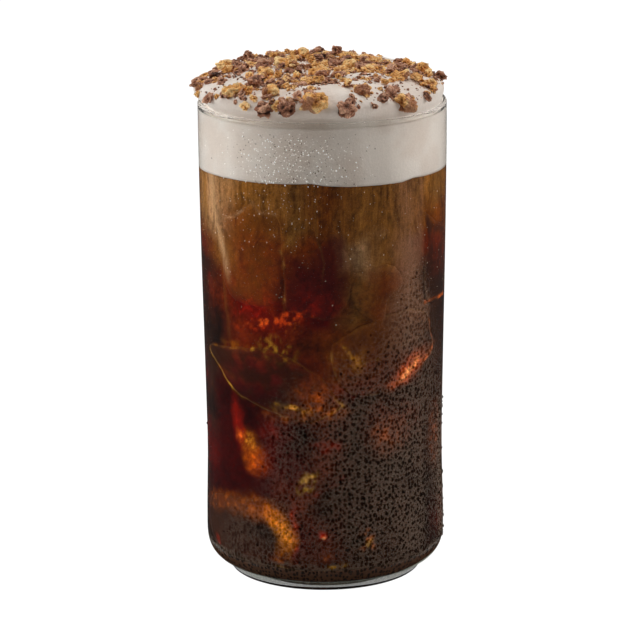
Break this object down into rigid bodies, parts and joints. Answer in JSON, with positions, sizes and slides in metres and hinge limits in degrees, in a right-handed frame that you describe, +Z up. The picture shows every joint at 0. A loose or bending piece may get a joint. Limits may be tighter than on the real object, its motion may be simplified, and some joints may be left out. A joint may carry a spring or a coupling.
{
  "type": "glass of iced mocha",
  "caption": "Tall clear tumbler of iced mocha: dark coffee under a milky layer, topped by a domed cream foam with honeycomb and chocolate lumps.",
  "frame": {"origin": "centre of the foot's contact plane, on the glass's axis", "axes": "+Z up along the glass's axis, -Y towards the front, +X to the right"},
  "size_m": [0.0792, 0.0789, 0.1649],
  "materials": {
    "clear_glass": "clear, with fine condensation",
    "coffee": "wet dark brown seen through glass",
    "milky_coffee": "wet milky brown seen through glass",
    "cream": "soft, slightly glossy cream foam",
    "honeycomb": "rough golden toffee honeycomb",
    "chocolate": "broken milk chocolate"
  },
  "bodies": {
    "root": {"glass": "clear_glass", "black_coffee": "coffee", "milky_coffee": "milky_coffee", "cream_foam": "cream", "honeycomb_01": "honeycomb", "honeycomb_02": "honeycomb", "honeycomb_03": "honeycomb", "honeycomb_04": "honeycomb", "honeycomb_05": "honeycomb", "honeycomb_06": "honeycomb", "honeycomb_07": "honeycomb", "honeycomb_08": "honeycomb", "honeycomb_09": "honeycomb", "honeycomb_10": "honeycomb", "honeycomb_11": "honeycomb", "honeycomb_12": "honeycomb", "honeycomb_13": "honeycomb", "chocolate_01": "chocolate", "chocolate_02": "chocolate", "chocolate_03": "chocolate", "chocolate_04": "chocolate"}
  },
  "joints": []
}
